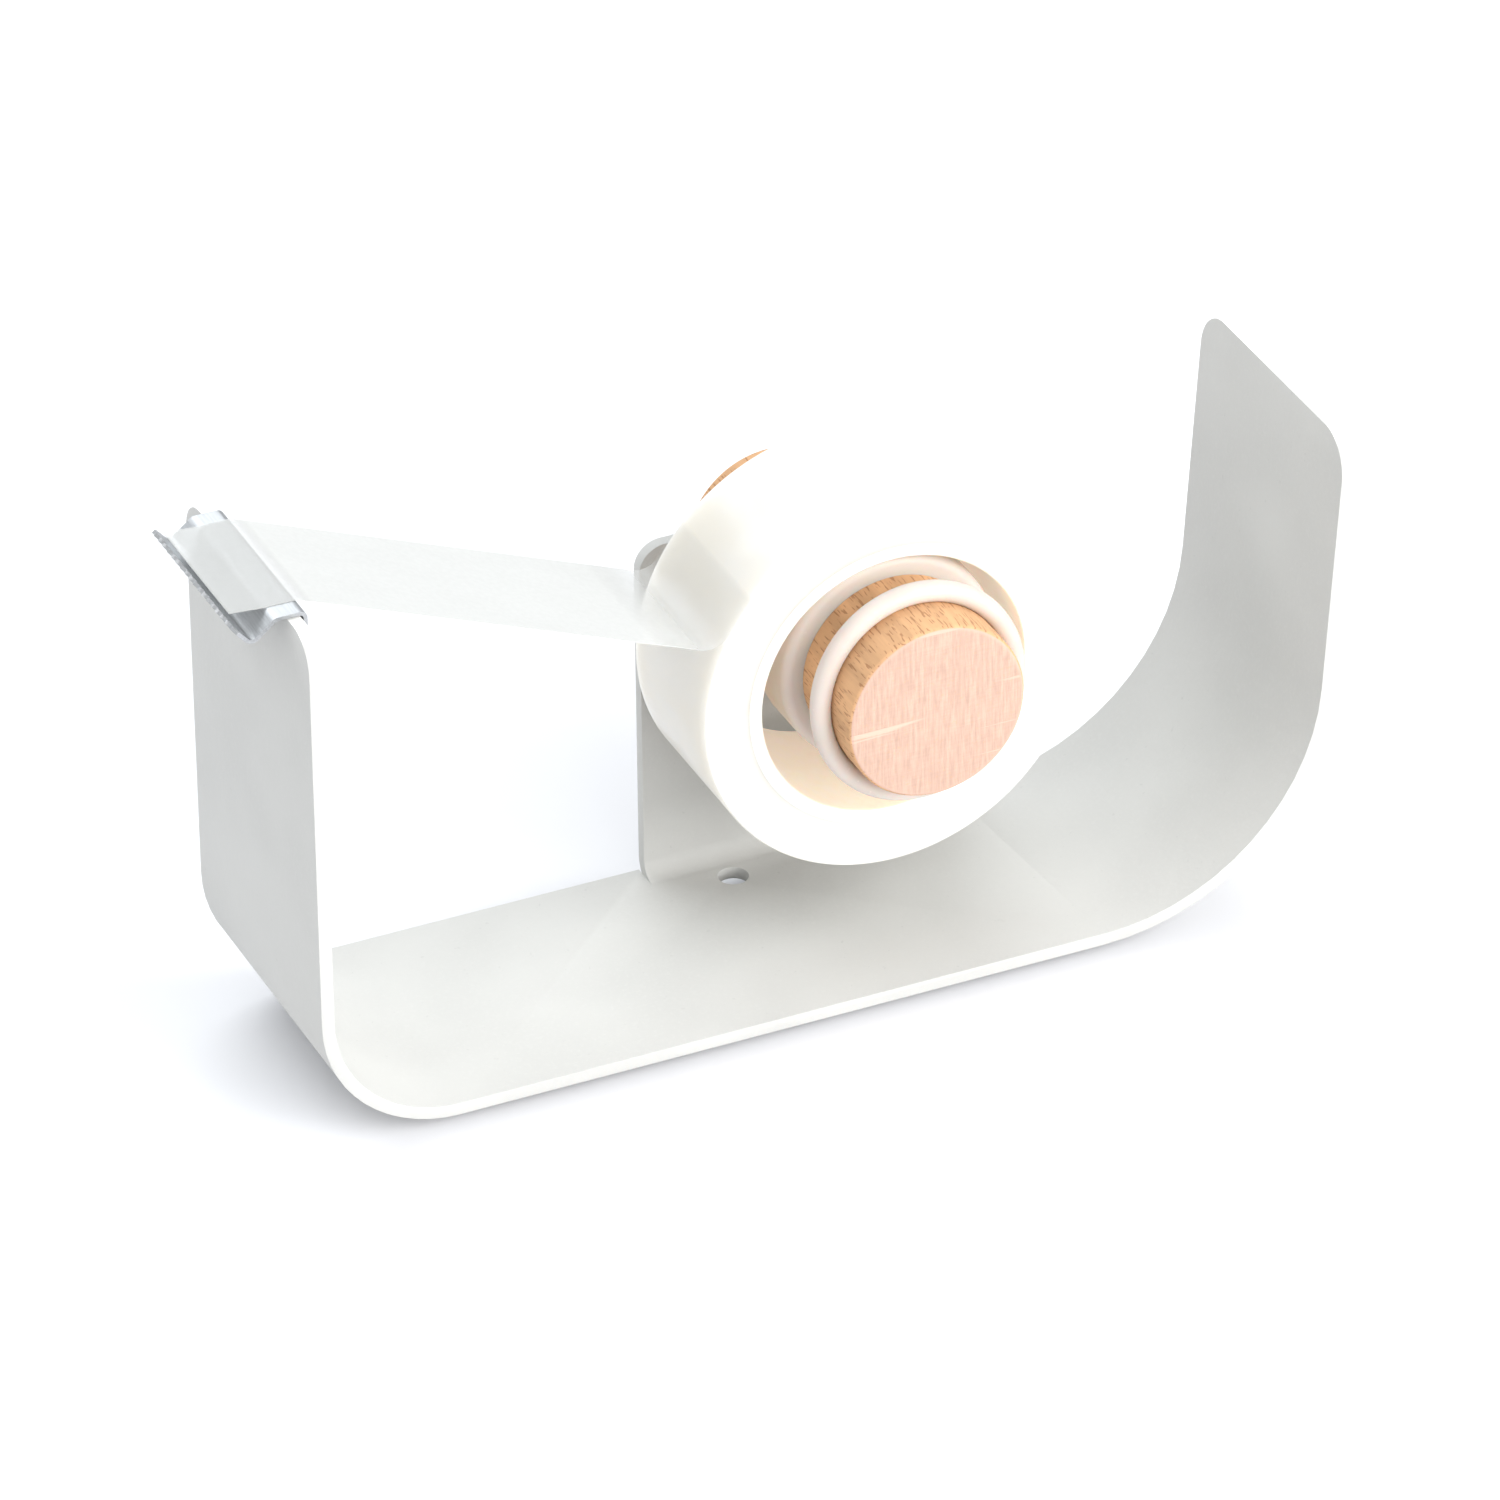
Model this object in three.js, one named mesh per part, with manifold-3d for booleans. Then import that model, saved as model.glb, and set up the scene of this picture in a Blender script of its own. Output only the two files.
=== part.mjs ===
// Desk tape dispenser, in millimetres, +Z up.
// One bent strip of sheet steel is the front wall, the base and the swept-up tail. A tab folded up
// from its rear long edge carries a wooden spindle with two silicone rings. The roll of tape hangs
// on the rings, and its free end runs over a thin toothed blade on top of the front wall.
// X runs from the front wall to the tail, -Y is the open side that the roll slides off from.
// The origin is on the desk, below the middle of the object.

import * as THREE from 'three';
import { mergeVertices } from 'three/addons/utils/BufferGeometryUtils.js';
import Module from 'manifold-3d';

const wasm = await Module();
wasm.setup();

// ---------------------------------------------------------------- driving dimensions
const GAP = 0.3; // between pieces that touch

const STRIP_WIDTH = 28;
const SHEET = 1.2; // thickness of the steel
const WALL_HEIGHT = 52.3; // front wall, above the underside of the sheet
const WALL_CORNER_R = 3.4;
const FRONT_BEND_R = 12.9; // outer radius
const SWEEP_START = 76.5; // from the outer face of the wall to the start of the sweep
const SWEEP_R = 21.8; // inner radius
const TAIL_HEIGHT = 46.7; // above the underside of the sheet
const TAIL_LEAN = THREE.MathUtils.degToRad(4.2); // outwards from vertical
const TAIL_CORNER_R = 4;

const PAD_THICKNESS = 0.9;
const PAD_INSET = 2;
const PAD_CORNER_R = 3;

const TAB_WIDTH = 31.5;
const TAB_HEIGHT = 36; // above the underside of the sheet
const TAB_CORNER_R = 2.6;
const TAB_BEND_R = 3; // outer radius
const BASE_HOLE_R = 1.45;
const BASE_HOLE_X = 50.2; // from the outer face of the wall
const BASE_HOLE_EDGE = 4.7; // from the rear long edge of the strip

const SPINDLE_X = 58.6; // from the outer face of the wall
const SPINDLE_Z = 31.1; // above the underside of the sheet
const SPINDLE_R = 8.6;
const SPINDLE_OVERHANG = 2.5; // past the open long edge of the strip
const SPINDLE_CHAMFER = 0.35;
const BUTTON_R = 8.1; // the wooden disc behind the tab
const BUTTON_THICKNESS = 5.3;
const BUTTON_CHAMFER = 0.6;

const SCREW_R = 2;
const SCREW_DEPTH = 14; // into the spindle
const SCREW_HEAD_R = 3.6;
const SCREW_HEAD_H = 2.4;
const SCREW_RECESS = 0.6; // the head sits this far below the back of the button
const SCREW_DOME = 0.5;
const SCREW_CLEARANCE = 0.4;
const CROSS_LENGTH = 4;
const CROSS_WIDTH = 1;
const CROSS_DEPTH = 1.3;
const WASHER_R = 5;
const WASHER_THICKNESS = 0.8;

const RING_CORD = 1.6; // section of the front silicone ring
const FRONT_RING_SETBACK = 4.1; // middle of the front ring, behind the end of the spindle
const BAND_WIDTH = 6.5; // the wider silicone ring that the roll hangs on
const BAND_ROUND = 0.9;
const BAND_SETBACK = 0.8; // behind the open face of the roll

const TAPE_WIDTH = 15;
const ROLL_DROP = 2.1; // the roll hangs this far below the spindle's axis
const CORE_WALL = 1.3;
const ROLL_R = 18.6;
const ROLL_Y = 0; // middle of the roll, from the middle of the strip

const BLADE_LENGTH = 18.9;
const BLADE_SHEET = 0.4;
const BLADE_FLANGE = 5; // leg down the inner face of the wall
const BLADE_FOLD_R = 0.5;
const BLADE_NOSE = 1.1; // flat part past the outer face of the wall
const VALLEY_OUT = 3.4; // bottom of the valley, in front of the wall
const VALLEY_DROP = 1.9; // below the top of the blade
const VALLEY_FRONT = 0.6; // eased corner towards the teeth, and its rise
const VALLEY_FRONT_RISE = 0.35;
const VALLEY_REAR = 0.7; // eased corner towards the wall, and its rise
const VALLEY_REAR_RISE = 0.2;
const TIP_OUT = 5.4; // tips of the teeth, in front of the wall
const TIP_RISE = 0.25; // above the top of the blade
const BLADE_CORNER = 0.9; // plain length at each end of the toothed edge
const BLADE_TRIM = 0.9; // trimmed off each corner of that edge
const TOOTH_COUNT = 17;
const TOOTH_DEPTH = 0.48; // radius of the scallops between the teeth

const STRIP_OF_TAPE = 0.25; // thickness of the free tape
const TAPE_LIFT = 0.35; // clearance between the free tape and the blade
const TAPE_SETBACK = 0.1; // end of the tape, behind the tips of the teeth
const TAPE_FOLD_BACK = 0.6; // the tape bends down this far before the rear of the blade
const TAPE_FOLD_DROP = 0.12;
const PEEL_ANGLE = THREE.MathUtils.degToRad(147); // where the free tape leaves the roll
const PEEL_R = 3.2; // bend where it leaves
const PEEL_LAP = THREE.MathUtils.degToRad(14); // lap on the roll above that

const ARC_STEPS = 14;
const ROUND_STEPS = 64;
const GULLET_STEPS = 16;

// ---------------------------------------------------------------- derived places
const HALF = STRIP_WIDTH / 2;
const TAB_INNER_Y = HALF - SHEET;
const RING_OUTER_R = SPINDLE_R + GAP + RING_CORD;
const CORE_INNER_R = RING_OUTER_R + GAP + ROLL_DROP;
const CORE_OUTER_R = CORE_INNER_R + CORE_WALL;
const ROLL_Z = SPINDLE_Z - ROLL_DROP;
const SPINDLE_FRONT_Y = -HALF - SPINDLE_OVERHANG;
const SPINDLE_BACK_Y = TAB_INNER_Y - GAP;
const SWEEP_ANGLE = Math.PI / 2 - TAIL_LEAN;
const TAIL_BASE_Z = SHEET + SWEEP_R * (1 - Math.cos(SWEEP_ANGLE));
const TAIL_BASE_X = SWEEP_START + SWEEP_R * Math.sin(SWEEP_ANGLE);
const TAIL_TOP_X = TAIL_BASE_X + (TAIL_HEIGHT - TAIL_BASE_Z) * Math.tan(TAIL_LEAN);
const BLADE_TOP = WALL_HEIGHT + GAP + BLADE_SHEET;
const FRONT_X = -TIP_OUT;
const BACK_X = TAIL_TOP_X + SHEET / Math.cos(TAIL_LEAN);

// ---------------------------------------------------------------- geometry helpers
// A closed solid of manifold-3d, from a three.js geometry.
function solid(geometry) {
  const bare = geometry.clone();
  bare.deleteAttribute('normal');
  bare.deleteAttribute('uv');
  const merged = mergeVertices(bare.index ? bare.toNonIndexed() : bare, 1e-5);
  return new wasm.Manifold(new wasm.Mesh({
    numProp: 3,
    vertProperties: new Float32Array(merged.attributes.position.array),
    triVerts: new Uint32Array(merged.index.array),
  }));
}

function geometryOf(body) {
  const mesh = body.getMesh();
  const geometry = new THREE.BufferGeometry();
  geometry.setAttribute('position', new THREE.BufferAttribute(mesh.vertProperties, 3));
  geometry.setIndex(new THREE.BufferAttribute(mesh.triVerts, 1));
  geometry.computeVertexNormals();
  return geometry;
}

// An outline in X and Z, extruded along Y from y0 to y1.
function alongY(shape, y0, y1) {
  const settings = { depth: y1 - y0, bevelEnabled: false, curveSegments: ARC_STEPS };
  return new THREE.ExtrudeGeometry(shape, settings).rotateX(Math.PI / 2).translate(0, y1, 0);
}

// An outline in Y and Z, extruded along X from x0 to x1.
function alongX(shape, x0, x1) {
  const settings = { depth: x1 - x0, bevelEnabled: false, curveSegments: ARC_STEPS };
  return new THREE.ExtrudeGeometry(shape, settings)
    .applyMatrix4(new THREE.Matrix4().set(0, 0, 1, x0, 1, 0, 0, 0, 0, 1, 0, 0, 0, 0, 0, 1));
}

// A ring or disc about an axis along Y: points are [radius, y].
function turned(points, x, z) {
  const profile = points.map(([r, y]) => new THREE.Vector2(r, y));
  return new THREE.LatheGeometry(profile, ROUND_STEPS).translate(x, 0, z);
}

function rodY(radius, y0, y1, x, z) {
  return turned([[0, y0], [radius, y0], [radius, y1], [0, y1]], x, z);
}

function box(x0, x1, y0, y1, z0, z1) {
  return new THREE.BoxGeometry(x1 - x0, y1 - y0, z1 - z0)
    .translate((x0 + x1) / 2, (y0 + y1) / 2, (z0 + z1) / 2);
}

// The corner left outside a rounded corner: a square with a quarter circle taken off.
// (cy, cz) is the corner, sy and sz point from it into the plate.
function cornerWaste(cy, cz, sy, sz, radius) {
  const over = 1;
  const shape = new THREE.Shape();
  shape.moveTo(cy - sy * over, cz - sz * over);
  shape.lineTo(cy + sy * radius, cz - sz * over);
  shape.lineTo(cy + sy * radius, cz);
  for (let i = 1; i <= ARC_STEPS; i++) {
    const a = (i / ARC_STEPS) * (Math.PI / 2);
    shape.lineTo(cy + sy * radius * (1 - Math.sin(a)), cz + sz * radius * (1 - Math.cos(a)));
  }
  shape.lineTo(cy - sy * over, cz + sz * radius);
  shape.closePath();
  return shape;
}

// A strip of even thickness to the left of a path of [x, z] points, as a closed outline.
function thickPath(path, thickness) {
  const left = path.map((p, i) => {
    const a = path[Math.max(i - 1, 0)];
    const b = path[Math.min(i + 1, path.length - 1)];
    const d1 = new THREE.Vector2(p[0] - a[0], p[1] - a[1]);
    const d2 = new THREE.Vector2(b[0] - p[0], b[1] - p[1]);
    if (i === 0) d1.copy(d2);
    if (i === path.length - 1) d2.copy(d1);
    const n = d1.normalize().add(d2.normalize()).normalize();
    const mitre = thickness / n.dot(d2);
    return [p[0] - n.y * mitre, p[1] + n.x * mitre];
  });
  const points = [...path, ...left.reverse()];
  return new THREE.Shape(points.map(([x, z]) => new THREE.Vector2(x, z)));
}

function arc(cx, cz, radius, from, to, steps = ARC_STEPS) {
  return Array.from({ length: steps + 1 }, (_, i) => {
    const a = from + ((to - from) * i) / steps;
    return [cx + radius * Math.cos(a), cz + radius * Math.sin(a)];
  });
}

// ---------------------------------------------------------------- the bent steel frame
// Underside of the strip: down the wall, round the front bend, along the base, up the sweep.
function stripOutline() {
  const outerSweep = SWEEP_R + SHEET;
  const underside = [
    [0, WALL_HEIGHT],
    ...arc(FRONT_BEND_R, FRONT_BEND_R, FRONT_BEND_R, Math.PI, 1.5 * Math.PI),
    ...arc(SWEEP_START, outerSweep, outerSweep, 1.5 * Math.PI, 1.5 * Math.PI + SWEEP_ANGLE),
    [BACK_X, TAIL_HEIGHT],
  ];
  const upper = [
    [TAIL_TOP_X, TAIL_HEIGHT],
    ...arc(SWEEP_START, outerSweep, SWEEP_R, 1.5 * Math.PI + SWEEP_ANGLE, 1.5 * Math.PI),
    ...arc(FRONT_BEND_R, FRONT_BEND_R, FRONT_BEND_R - SHEET, 1.5 * Math.PI, Math.PI),
    [SHEET, WALL_HEIGHT],
  ];
  return new THREE.Shape([...underside, ...upper].map(([x, z]) => new THREE.Vector2(x, z)));
}

// The tab's section in Y and Z: out of the base, round the bend and up.
function tabSection() {
  const y = HALF - TAB_BEND_R;
  const outer = arc(y, TAB_BEND_R, TAB_BEND_R, 1.5 * Math.PI, 2 * Math.PI);
  const inner = arc(y, TAB_BEND_R, TAB_BEND_R - SHEET, 2 * Math.PI, 1.5 * Math.PI);
  const points = [...outer, [HALF, TAB_HEIGHT], [TAB_INNER_Y, TAB_HEIGHT], ...inner];
  return new THREE.Shape(points.map(([u, v]) => new THREE.Vector2(u, v)));
}

function bentFrame() {
  const tabX0 = SPINDLE_X - TAB_WIDTH / 2;
  const tabX1 = SPINDLE_X + TAB_WIDTH / 2;
  const strip = solid(alongY(stripOutline(), -HALF, HALF));
  const edge = box(tabX0, tabX1, HALF - TAB_BEND_R, HALF + 1, -1, TAB_BEND_R);
  const tab = solid(alongX(tabSection(), tabX0, tabX1));
  let frame = strip.subtract(solid(edge)).add(tab);
  for (const side of [-1, 1]) {
    const wallCorner = cornerWaste(side * HALF, WALL_HEIGHT, -side, -1, WALL_CORNER_R);
    const tailCorner = cornerWaste(side * HALF, TAIL_HEIGHT, -side, -1, TAIL_CORNER_R);
    const tabEdge = side < 0 ? tabX0 : tabX1;
    const tabCorner = cornerWaste(tabEdge, TAB_HEIGHT, -side, -1, TAB_CORNER_R);
    frame = frame
      .subtract(solid(alongX(wallCorner, -1, SHEET + 1)))
      .subtract(solid(alongX(tailCorner, TAIL_BASE_X - 1, BACK_X + 1)))
      .subtract(solid(alongY(tabCorner, TAB_INNER_Y - 1, HALF + 1)));
  }
  const holeY = HALF - BASE_HOLE_EDGE;
  const hole = new THREE.CylinderGeometry(BASE_HOLE_R, BASE_HOLE_R, SHEET * 3, ROUND_STEPS / 2)
    .rotateX(Math.PI / 2).translate(BASE_HOLE_X, holeY, SHEET / 2);
  const screwHole = rodY(SCREW_R + SCREW_CLEARANCE, TAB_INNER_Y - 1, HALF + 1, SPINDLE_X, SPINDLE_Z);
  return geometryOf(frame.subtract(solid(hole)).subtract(solid(screwHole)));
}

// ---------------------------------------------------------------- the pad under the base
function basePad() {
  const x0 = FRONT_BEND_R + PAD_INSET;
  const x1 = SWEEP_START - PAD_INSET;
  const y = HALF - PAD_INSET - TAB_BEND_R;
  const shape = new THREE.Shape();
  shape.moveTo(x0 + PAD_CORNER_R, -y);
  shape.lineTo(x1 - PAD_CORNER_R, -y);
  shape.absarc(x1 - PAD_CORNER_R, PAD_CORNER_R - y, PAD_CORNER_R, -Math.PI / 2, 0);
  shape.absarc(x1 - PAD_CORNER_R, y - PAD_CORNER_R, PAD_CORNER_R, 0, Math.PI / 2);
  shape.absarc(x0 + PAD_CORNER_R, y - PAD_CORNER_R, PAD_CORNER_R, Math.PI / 2, Math.PI);
  shape.absarc(x0 + PAD_CORNER_R, PAD_CORNER_R - y, PAD_CORNER_R, Math.PI, 1.5 * Math.PI);
  const settings = { depth: PAD_THICKNESS, bevelEnabled: false, curveSegments: 8 };
  return new THREE.ExtrudeGeometry(shape, settings).translate(0, 0, -GAP - PAD_THICKNESS);
}

// ---------------------------------------------------------------- the blade
// Path of the blade's lower side, from the teeth over the wall to the foot of the flange.
function bladePath() {
  const top = WALL_HEIGHT + GAP;
  const inner = SHEET + GAP;
  return [
    [-TIP_OUT, top + TIP_RISE],
    [-VALLEY_OUT - VALLEY_FRONT, top - VALLEY_DROP + VALLEY_FRONT_RISE],
    [-VALLEY_OUT, top - VALLEY_DROP],
    [-VALLEY_OUT + VALLEY_REAR, top - VALLEY_DROP + VALLEY_REAR_RISE],
    [-BLADE_NOSE, top],
    ...arc(inner - BLADE_FOLD_R, top - BLADE_FOLD_R, BLADE_FOLD_R, Math.PI / 2, 0, 4),
    [inner, top - BLADE_FLANGE],
  ];
}

function blade() {
  const half = BLADE_LENGTH / 2;
  const outline = thickPath(bladePath(), BLADE_SHEET);
  let body = solid(alongY(outline, -half, half));
  const path = bladePath();
  const slope = Math.atan2(path[1][1] - path[0][1], path[1][0] - path[0][0]);
  const pitch = (BLADE_LENGTH - 2 * BLADE_CORNER) / TOOTH_COUNT;
  for (let i = 0; i <= TOOTH_COUNT; i++) {
    const y = -half + BLADE_CORNER + i * pitch;
    const gullet = new THREE.CylinderGeometry(TOOTH_DEPTH, TOOTH_DEPTH, BLADE_SHEET * 5, GULLET_STEPS)
      .rotateZ(slope).rotateX(Math.PI / 2).translate(path[0][0], y, path[0][1]);
    body = body.subtract(solid(gullet));
  }
  const z0 = WALL_HEIGHT - VALLEY_DROP - 2;
  const z1 = BLADE_TOP + TIP_RISE + 2;
  for (const side of [-1, 1]) {
    const shape = new THREE.Shape();
    shape.moveTo(-TIP_OUT - 1, side * (half + 1));
    shape.lineTo(-TIP_OUT - 1, side * (half - BLADE_TRIM));
    shape.lineTo(-TIP_OUT + BLADE_TRIM, side * (half + 1));
    shape.closePath();
    const trim = new THREE.ExtrudeGeometry(shape, { depth: z1 - z0, bevelEnabled: false });
    body = body.subtract(solid(trim.translate(0, 0, z0)));
  }
  return geometryOf(body);
}

// ---------------------------------------------------------------- the spindle
function spindle() {
  const c = SPINDLE_CHAMFER;
  const holeR = SCREW_R + SCREW_CLEARANCE;
  const holeEnd = SPINDLE_BACK_Y - SCREW_DEPTH - SCREW_CLEARANCE;
  return turned([
    [0, SPINDLE_FRONT_Y], [SPINDLE_R - c, SPINDLE_FRONT_Y], [SPINDLE_R, SPINDLE_FRONT_Y + c],
    [SPINDLE_R, SPINDLE_BACK_Y], [holeR, SPINDLE_BACK_Y], [holeR, holeEnd], [0, holeEnd],
  ], SPINDLE_X, SPINDLE_Z);
}

function spindleButton() {
  const c = BUTTON_CHAMFER;
  const y0 = HALF + GAP;
  const y1 = y0 + BUTTON_THICKNESS;
  const holeR = SCREW_R + SCREW_CLEARANCE;
  const boreR = WASHER_R + SCREW_CLEARANCE;
  const seat = y1 - SCREW_RECESS - SCREW_HEAD_H - GAP - WASHER_THICKNESS - GAP;
  return turned([
    [holeR, y0], [BUTTON_R, y0], [BUTTON_R, y1 - c], [BUTTON_R - c, y1], [boreR, y1],
    [boreR, seat], [holeR, seat], [holeR, y0],
  ], SPINDLE_X, SPINDLE_Z);
}

function screwWasher() {
  const y1 = HALF + GAP + BUTTON_THICKNESS - SCREW_RECESS - SCREW_HEAD_H - GAP;
  const y0 = y1 - WASHER_THICKNESS;
  const holeR = SCREW_R + SCREW_CLEARANCE;
  return turned([[holeR, y0], [WASHER_R, y0], [WASHER_R, y1], [holeR, y1], [holeR, y0]],
    SPINDLE_X, SPINDLE_Z);
}

function spindleScrew() {
  const top = HALF + GAP + BUTTON_THICKNESS - SCREW_RECESS;
  const under = top - SCREW_HEAD_H;
  const end = SPINDLE_BACK_Y - SCREW_DEPTH;
  const screw = solid(turned([
    [0, end], [SCREW_R * 0.5, end], [SCREW_R, end + SCREW_R], [SCREW_R, under],
    [SCREW_HEAD_R, under], [SCREW_HEAD_R, top - SCREW_DOME],
    [SCREW_HEAD_R - SCREW_DOME, top], [0, top],
  ], SPINDLE_X, SPINDLE_Z));
  const a = CROSS_LENGTH / 2;
  const b = CROSS_WIDTH / 2;
  const y0 = top - CROSS_DEPTH;
  const slot = box(SPINDLE_X - a, SPINDLE_X + a, y0, top + 1, SPINDLE_Z - b, SPINDLE_Z + b);
  const cross = box(SPINDLE_X - b, SPINDLE_X + b, y0, top + 1, SPINDLE_Z - a, SPINDLE_Z + a);
  return geometryOf(screw.subtract(solid(slot).add(solid(cross))));
}

// ---------------------------------------------------------------- the silicone rings
function frontRing() {
  const y = SPINDLE_FRONT_Y + FRONT_RING_SETBACK;
  const half = RING_CORD / 2;
  const middle = SPINDLE_R + GAP + half;
  const section = arc(middle, y, half, Math.PI, -Math.PI, 18);
  section[section.length - 1] = section[0];
  return turned(section.reverse(), SPINDLE_X, SPINDLE_Z);
}

function rollBand() {
  const inner = SPINDLE_R + GAP;
  const r = BAND_ROUND;
  const y0 = ROLL_Y - TAPE_WIDTH / 2 + BAND_SETBACK;
  const y1 = y0 + BAND_WIDTH;
  const section = [
    [inner, y0], [RING_OUTER_R - r, y0],
    ...arc(RING_OUTER_R - r, y0 + r, r, -Math.PI / 2, 0, 5),
    ...arc(RING_OUTER_R - r, y1 - r, r, 0, Math.PI / 2, 5),
    [inner, y1], [inner, y0],
  ];
  return turned(section, SPINDLE_X, SPINDLE_Z);
}

// ---------------------------------------------------------------- the roll of tape
function tapeCore() {
  const y0 = ROLL_Y - TAPE_WIDTH / 2;
  const y1 = ROLL_Y + TAPE_WIDTH / 2;
  return turned([[CORE_INNER_R, y0], [CORE_OUTER_R, y0], [CORE_OUTER_R, y1], [CORE_INNER_R, y1],
    [CORE_INNER_R, y0]], SPINDLE_X, ROLL_Z);
}

function tapeRoll() {
  const y0 = ROLL_Y - TAPE_WIDTH / 2;
  const y1 = ROLL_Y + TAPE_WIDTH / 2;
  const inner = CORE_OUTER_R + GAP;
  return turned([[inner, y0], [ROLL_R, y0], [ROLL_R, y1], [inner, y1], [inner, y0]],
    SPINDLE_X, ROLL_Z);
}

// Underside of the free tape, from the teeth over the wall to the roll.
function freeTapePath() {
  const top = BLADE_TOP + TAPE_LIFT;
  const rear = SHEET + GAP + BLADE_SHEET;
  const onRoll = ROLL_R + TAPE_LIFT;
  const bendR = PEEL_R + STRIP_OF_TAPE;
  const bendX = SPINDLE_X + (onRoll + bendR) * Math.cos(PEEL_ANGLE);
  const bendZ = ROLL_Z + (onRoll + bendR) * Math.sin(PEEL_ANGLE);
  // The straight run from the rear edge of the blade is tangent to the bend.
  const reach = Math.hypot(bendX - rear, bendZ - top);
  const slope = Math.atan2(bendZ - top, bendX - rear) - Math.asin(bendR / reach);
  return {
    start: [
      [TAPE_SETBACK - TIP_OUT, top + TIP_RISE],
      [-BLADE_NOSE, top],
      [rear - TAPE_FOLD_BACK, top],
      [rear, top - TAPE_FOLD_DROP],
    ],
    bend: arc(bendX, bendZ, bendR, slope - Math.PI / 2, PEEL_ANGLE - Math.PI),
    lap: arc(SPINDLE_X, ROLL_Z, onRoll, PEEL_ANGLE, PEEL_ANGLE - PEEL_LAP, 6),
  };
}

function freeTape() {
  const { start, bend, lap } = freeTapePath();
  const path = [...start, ...bend, ...lap.slice(1)];
  const y0 = ROLL_Y - TAPE_WIDTH / 2;
  return alongY(thickPath(path, STRIP_OF_TAPE), y0, y0 + TAPE_WIDTH);
}

// ---------------------------------------------------------------- the assembly
const steel = { color: 0xe9e8e4, roughness: 0.55, metalness: 0.0 };
const bareSteel = { color: 0xc4c8ca, roughness: 0.3, metalness: 1.0 };
const wood = { color: 0xe6b78f, roughness: 0.7, metalness: 0.0 };
const silicone = { color: 0xf1ebe6, roughness: 0.45, metalness: 0.0 };
const paleTape = { color: 0xf6f6f3, roughness: 0.4, metalness: 0.0 };
const ivory = { color: 0xeee3c8, roughness: 0.4, metalness: 0.0 };
const rubber = { color: 0xcfc8c0, roughness: 0.9, metalness: 0.0 };

const group = new THREE.Group();
group.position.set(-(FRONT_X + BACK_X) / 2, 0, GAP + PAD_THICKNESS);

function place(name, geometry, look) {
  const mesh = new THREE.Mesh(geometry, new THREE.MeshStandardMaterial(look));
  mesh.name = name;
  group.add(mesh);
}

place('bent_frame', bentFrame(), steel);
place('base_pad', basePad(), rubber);
place('blade', blade(), bareSteel);
place('spindle', spindle(), wood);
place('spindle_button', spindleButton(), wood);
place('spindle_screw', spindleScrew(), bareSteel);
place('screw_washer', screwWasher(), bareSteel);
place('front_ring', frontRing(), silicone);
place('roll_band', rollBand(), silicone);
place('tape_core', tapeCore(), ivory);
place('tape_roll', tapeRoll(), paleTape);
place('free_tape', freeTape(), paleTape);

export default group;
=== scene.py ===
import math
import random

import bmesh
import bpy
from bpy.props import (
    FloatProperty,
    FloatVectorProperty,
    IntProperty,
    PointerProperty,
)
from mathutils import Matrix, Vector


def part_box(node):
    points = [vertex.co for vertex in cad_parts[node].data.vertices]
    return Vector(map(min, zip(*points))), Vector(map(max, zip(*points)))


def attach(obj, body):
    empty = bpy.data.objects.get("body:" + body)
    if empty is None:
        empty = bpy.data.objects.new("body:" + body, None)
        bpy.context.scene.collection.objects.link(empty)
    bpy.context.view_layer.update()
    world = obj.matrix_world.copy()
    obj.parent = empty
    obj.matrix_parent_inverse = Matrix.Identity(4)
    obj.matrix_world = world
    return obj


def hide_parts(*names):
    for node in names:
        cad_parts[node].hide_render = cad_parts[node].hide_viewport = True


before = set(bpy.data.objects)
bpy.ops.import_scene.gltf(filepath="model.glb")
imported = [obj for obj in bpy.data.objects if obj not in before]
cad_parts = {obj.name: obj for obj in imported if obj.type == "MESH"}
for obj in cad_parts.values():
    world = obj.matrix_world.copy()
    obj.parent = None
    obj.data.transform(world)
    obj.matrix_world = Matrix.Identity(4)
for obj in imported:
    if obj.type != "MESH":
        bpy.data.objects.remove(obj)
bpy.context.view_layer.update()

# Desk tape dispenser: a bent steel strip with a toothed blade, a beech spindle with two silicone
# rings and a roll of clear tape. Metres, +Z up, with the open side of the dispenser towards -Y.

bl_info = {
    "name": "Desk Tape Dispenser",
    "version": (1, 0, 0),
    "blender": (4, 5, 0),
    "location": "View3D > Sidebar > Dispenser",
    "description": "Builds a desk tape dispenser of bent steel and beech around its frame",
    "category": "Object",
}

MM = 0.001
FADE = "lap_fade"  # attribute that fades the free tape into the roll
PAINTED_ROLL_GLOW = 0.10  # painted glow: emission that stands in for light crossing the milky tape
PAINTED_CORE_GLOW = 0.30  # painted glow: emission that stands in for the light that the roll lets through to its core


# ---------------------------------------------------------------- places on the frame
def box_of(node):
    lo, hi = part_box(node)
    return Vector(lo), Vector(hi)


FRAME_LO, FRAME_HI = box_of("bent_frame")
SPINDLE_LO, SPINDLE_HI = box_of("spindle")
BUTTON_LO, BUTTON_HI = box_of("spindle_button")
RING_LO, RING_HI = box_of("front_ring")
BAND_LO, BAND_HI = box_of("roll_band")
ROLL_LO, ROLL_HI = box_of("tape_roll")
CORE_LO, CORE_HI = box_of("tape_core")
BLADE_LO, BLADE_HI = box_of("blade")

SPINDLE_AXIS = (SPINDLE_LO + SPINDLE_HI) / 2
ROLL_AXIS = (ROLL_LO + ROLL_HI) / 2
SPINDLE_R = (SPINDLE_HI.x - SPINDLE_LO.x) / 2
BUTTON_R = (BUTTON_HI.x - BUTTON_LO.x) / 2
RING_R = (RING_HI.x - RING_LO.x) / 2
BAND_R = (BAND_HI.x - BAND_LO.x) / 2
ROLL_R = (ROLL_HI.x - ROLL_LO.x) / 2
CORE_R = (CORE_HI.x - CORE_LO.x) / 2
WALL_X = FRAME_LO.x


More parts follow.
